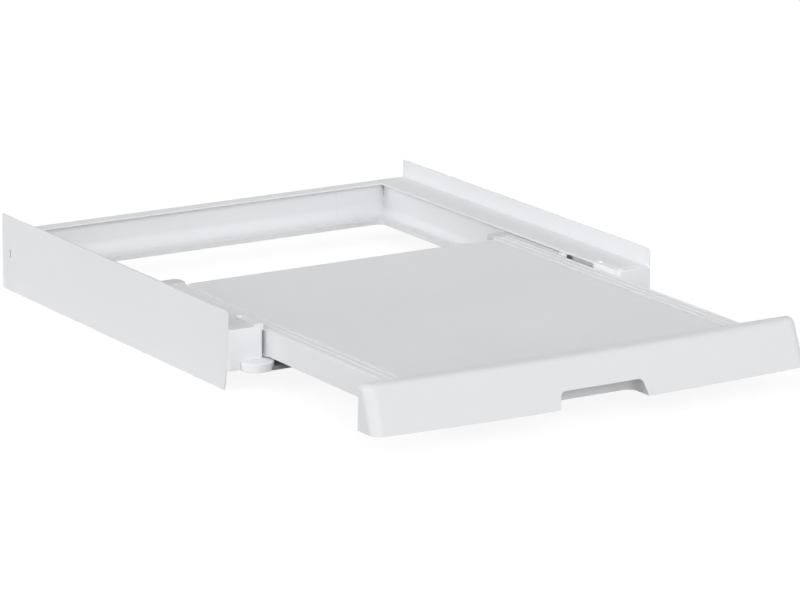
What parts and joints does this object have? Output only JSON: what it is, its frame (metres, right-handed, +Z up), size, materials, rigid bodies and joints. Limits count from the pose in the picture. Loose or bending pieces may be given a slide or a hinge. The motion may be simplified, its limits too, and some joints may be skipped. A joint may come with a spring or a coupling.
{
  "type": "stacking kit with pull-out shelf",
  "caption": "White folded-metal frame with ledges and side plates that holds one laundry machine on another, with a roller-borne pull-out shelf and a bowed grip front.",
  "frame": {"origin": "middle of the frame's front, on the underside of the front crossbar, in line with the side plates' front edges", "axes": "+X to the right seen from the front, +Y to the rear, which is the way the shelf is pushed in, +Z up"},
  "size_m": [0.6, 0.9312, 0.098],
  "materials": {
    "white_paint": "smooth white coat, satin",
    "white_plastic": "white moulding, fine satin",
    "grey_plastic": "light grey moulding",
    "nylon": "natural nylon",
    "zinc": "bright zinc",
    "white_aluminium": "white lacquered extrusion"
  },
  "bodies": {
    "frame": {"side_plate_left": "white_paint", "side_plate_right": "white_paint", "side_rail_left": "white_paint", "side_rail_right": "white_paint", "end_cap_left": "white_plastic", "end_cap_right": "white_plastic", "front_guide_left": "white_plastic", "front_guide_right": "white_plastic", "slide_stop_left": "white_paint", "slide_stop_right": "white_paint", "front_pad_left": "white_plastic", "front_pad_right": "white_plastic", "roller_bracket_left": "zinc", "roller_bracket_right": "zinc", "rear_rail": "white_paint", "lap_rivets": "white_paint", "plate_nuts": "zinc", "front_crossbar": "white_paint", "pad_screws": "zinc", "bracket_rivets": "zinc", "front_roller_pins": "zinc"},
    "shelf": {"side_profile_left": "white_aluminium", "side_profile_right": "white_aluminium", "rear_guide_left": "grey_plastic", "rear_guide_right": "grey_plastic", "shelf_sheet": "white_paint", "shelf_stiffener_front": "white_paint", "shelf_stiffener_rear": "white_paint", "front_panel": "white_plastic", "panel_screws": "zinc", "profile_rivets": "zinc", "guide_screws": "zinc", "rear_roller_pins": "zinc"},
    "front_roller_left": {"front_roller_left": "nylon"},
    "front_roller_right": {"front_roller_right": "nylon"},
    "rear_roller_left": {"rear_roller_left": "nylon"},
    "rear_roller_right": {"rear_roller_right": "nylon"}
  },
  "joints": [
    {"name": "shelf_slide", "type": "slide", "parent": "frame", "child": "shelf", "axis": [0, 1, 0], "range_m": [0, 0.2812]},
    {"name": "front_roller_left_turn", "type": "hinge", "parent": "frame", "child": "front_roller_left", "pos_m": [-0.2457, 0.034, 0.0066], "axis": [1, 0, 0], "continuous": true},
    {"name": "rear_roller_left_turn", "type": "hinge", "parent": "shelf", "child": "rear_roller_left", "pos_m": [-0.2457, 0.251, 0.0129], "axis": [1, 0, 0], "continuous": true},
    {"name": "front_roller_right_turn", "type": "hinge", "parent": "frame", "child": "front_roller_right", "pos_m": [0.2457, 0.034, 0.0066], "axis": [1, 0, 0], "continuous": true},
    {"name": "rear_roller_right_turn", "type": "hinge", "parent": "shelf", "child": "rear_roller_right", "pos_m": [0.2457, 0.251, 0.0129], "axis": [1, 0, 0], "continuous": true}
  ],
  "couplings": [
    {"joint": "front_roller_left_turn", "follows": "shelf_slide", "rad_per_m": -178.57},
    {"joint": "rear_roller_left_turn", "follows": "shelf_slide", "rad_per_m": -178.57},
    {"joint": "front_roller_right_turn", "follows": "shelf_slide", "rad_per_m": -178.57},
    {"joint": "rear_roller_right_turn", "follows": "shelf_slide", "rad_per_m": -178.57}
  ]
}
